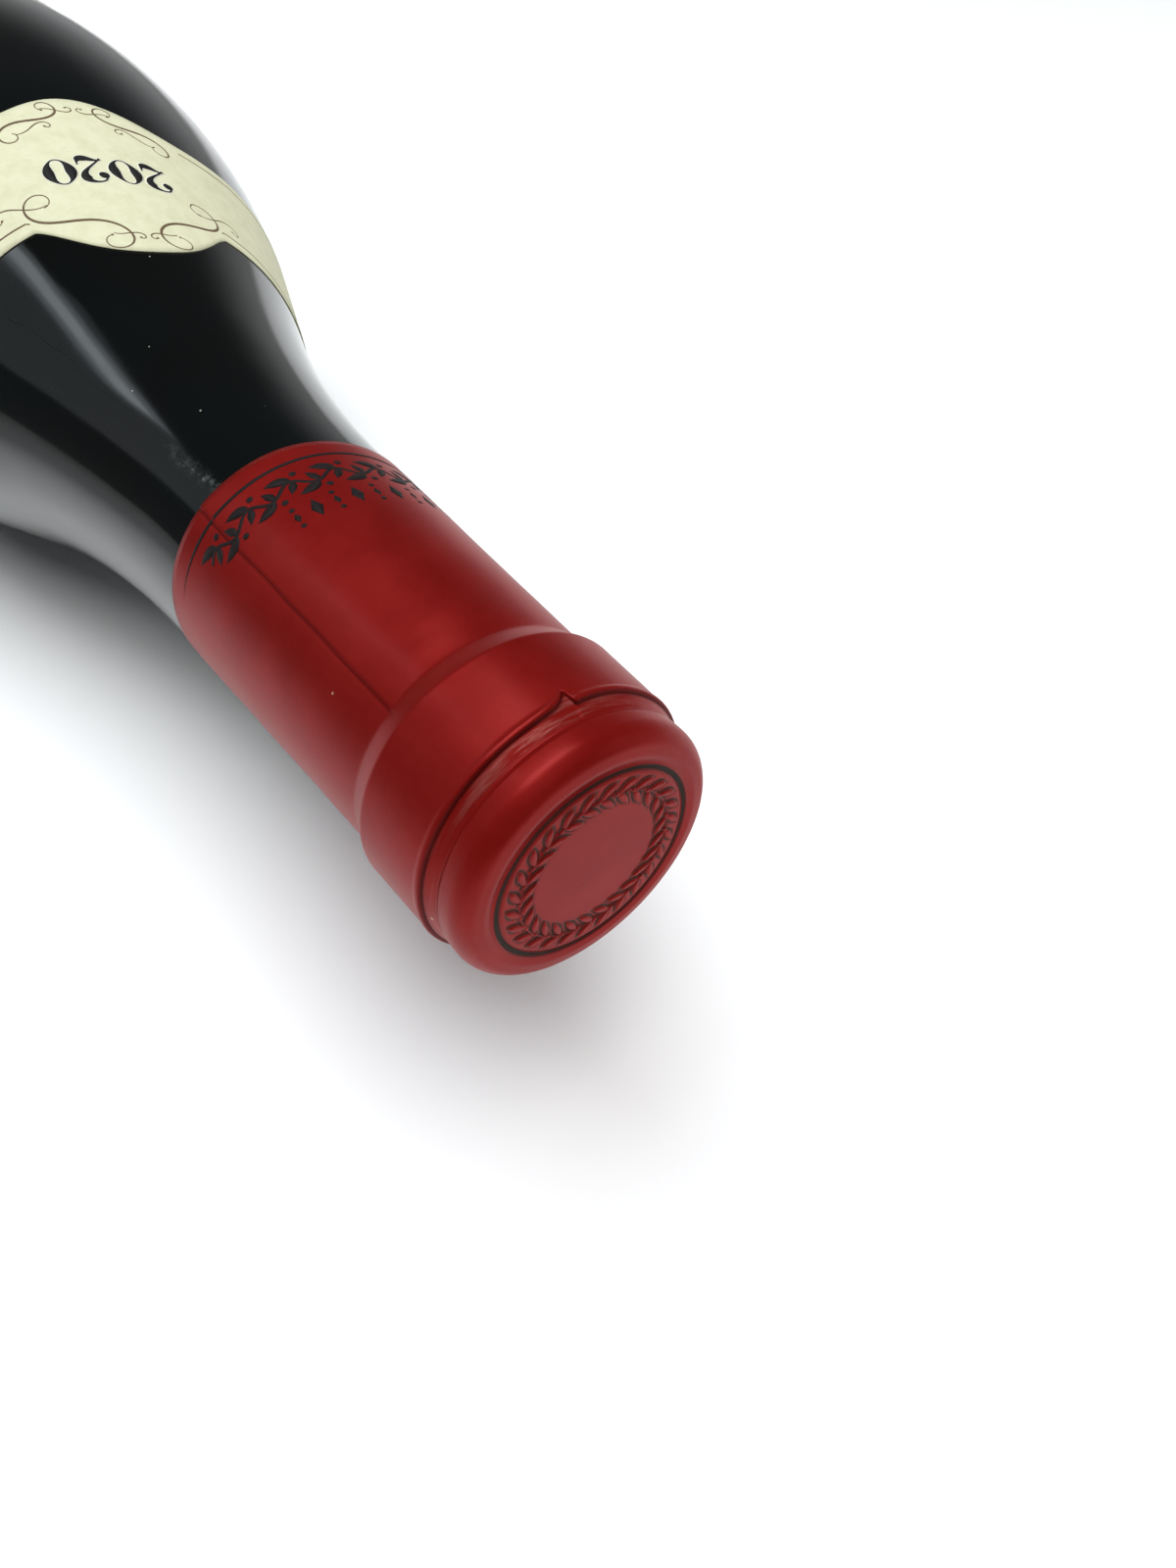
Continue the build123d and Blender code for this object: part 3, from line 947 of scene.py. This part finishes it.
def make_neck_print():
    """Fine brown scrolls and border lines, and a plain year in black with a pale edge."""
    laid = laid_at(YEAR_DEPTH, LABEL_TURN)
    bm = bmesh.new()
    for side in (-1, 1):
        for start, end, first, second, thick in SCROLLS:
            path = swept_line(
                (side * start[0], start[1]), (side * end[0], end[1]), side * first, side * second
            )
            stroke(bm, path, swelling(0.14, thick), laid, PRINT_LIFT)
            dot(bm, *path[-1], 0.34, laid, PRINT_LIFT)
        for edge, inset, first in ((TOP_EDGE, 1.9, 28.0), (FOOT_EDGE, -1.9, 24.0)):
            turns = [first + (82.5 - first) * i / 60 for i in range(61)]
            path = [(LABEL_TURN + side * t, edge(t) + inset) for t in turns]
            border(bm, path, 0.24)
    print_piece("neck_scrolls", bm, BROWN_INK)
    for name, finish, slot, grow, lift in (
        ("year_edge", PALE_PAPER, "cream_paper", 0.30, PAPER_LIFT + 0.006),
        ("year", BLACK_INK, "black_print", 0.0, PAPER_LIFT + 0.020),
    ):
        bm = bmesh.new()
        for i, figure in enumerate((figure_two, figure_nought, figure_two, figure_nought)):
            figure(bm, YEAR_PITCH * (i - 1.5), 0.1, YEAR_SIZE, grow, laid, lift)
        print_piece(name, bm, finish)


def border(bm, path, width):
    """A line of even width along points of (turn, depth)."""
    stroke(bm, path, lambda t: width, lambda turn, depth: (depth, turn), PRINT_LIFT)


def make_capsule_print():
    """A tapering black line round the skirt, a leafy vine, and a row of lozenges and dots."""
    bm = bmesh.new()
    lift = INK
    line = laid_at(CAPSULE_LINE_DEPTH, CAPSULE_PRINT_TURN)
    path = [(-25.8 + 55.8 * i / 160, 0.0) for i in range(161)]
    stroke(bm, path, lambda t: 0.46 * min(sin(pi * t) * 3, 1.0), line, lift)
    upper = laid_at(VINE_DEPTH, CAPSULE_PRINT_TURN)
    along = [VINE_HALF_LENGTH * (i / 120 - 1) for i in range(241)]
    stroke(bm, [(x, 0.75 * sin(2 * pi * x / VINE_PITCH)) for x in along], lambda t: 0.42, upper, lift)
    for i in range(-9, 10):
        x = VINE_PITCH * (i + 0.5) / 2
        rise = 1 if i % 2 == 0 else -1
        leaf(bm, (x - 0.2, rise * 0.7), (x + 2.3, rise * 1.75), -rise * 60, 1.25, upper, lift)
        leaf(bm, (x - 0.2, rise * 0.7), (x + 0.5, -rise * 1.2), rise * 50, 0.9, upper, lift)
        dot(bm, x - 0.9, rise * 1.75, 0.75, upper, lift)
    lower = laid_at(LOZENGE_DEPTH, CAPSULE_PRINT_TURN)
    for i in range(-7, 8):
        width, height = (0.7, 1.5) if i % 2 else (1.25, 3.0)
        lozenge(bm, LOZENGE_PITCH * i, 0.0, width, height, lower, lift)
        for side in (-1, 1) if i % 2 else ():
            dot(bm, LOZENGE_PITCH * i, side * 1.35, 0.6, lower, lift)
    print_piece("capsule_print", bm, TIN_INK)


def make_front_print():
    """Border lines, corner scrolls and a plain garland, in place of any words."""
    bm = bmesh.new()
    laid = laid_at(FRONT_TOP_DEPTH + FRONT_HEIGHT / 2, LABEL_TURN)
    for inset, width in ((3.0, 0.35), (4.2, 0.15)):
        half_w, half_h = FRONT_WIDTH / 2 - inset, FRONT_HEIGHT / 2 - inset
        corners = [(-half_w, -half_h), (half_w, -half_h), (half_w, half_h), (-half_w, half_h)]
        for a, b in zip(corners, corners[1:] + corners[:1]):
            path = [(a[0] + (b[0] - a[0]) * i / 60, a[1] + (b[1] - a[1]) * i / 60) for i in range(61)]
            stroke(bm, path, lambda t: width, laid, PRINT_LIFT)
    for side in (-1, 1):
        for rise in (-1, 1):
            for start, end, first, second, thick in CORNER_SCROLLS:
                path = swept_line(
                    (side * start[0], rise * start[1]), (side * end[0], rise * end[1]),
                    side * rise * first, side * rise * second,
                )
                stroke(bm, path, swelling(0.16, thick), laid, PRINT_LIFT)
                dot(bm, *path[0], 0.6, laid, PRINT_LIFT)
        for i in range(9):
            angle = radians(20 + 17 * i)
            x, y = side * 15 * sin(angle), -15 * cos(angle)
            ahead = (x + side * 4.2 * cos(angle + 0.55), y + 4.2 * sin(angle + 0.55))
            inner = (x + side * 3.4 * cos(angle - 0.1), y + 3.4 * sin(angle + 1.5))
            leaf(bm, (x, y), ahead, side * 40, 1.3, laid, PRINT_LIFT)
            leaf(bm, (x, y), inner, -side * 40, 1.1, laid, PRINT_LIFT)
    for row, count in enumerate((4, 3, 2, 1)):
        for i in range(count):
            dot(bm, (i - (count - 1) / 2) * 2.5, 3.2 - 2.1 * row, 2.2, laid, PRINT_LIFT)
    print_piece("front_scrolls", bm, BROWN_INK)


add_camera()
add_stage()
add_room()
make_glass()
make_flow_lines()
make_capsule()
make_neck_label()
make_front_label()
make_neck_print()
make_capsule_print()
make_front_print()

view_settings = bpy.context.scene.view_settings
view_settings.view_transform = "Standard"
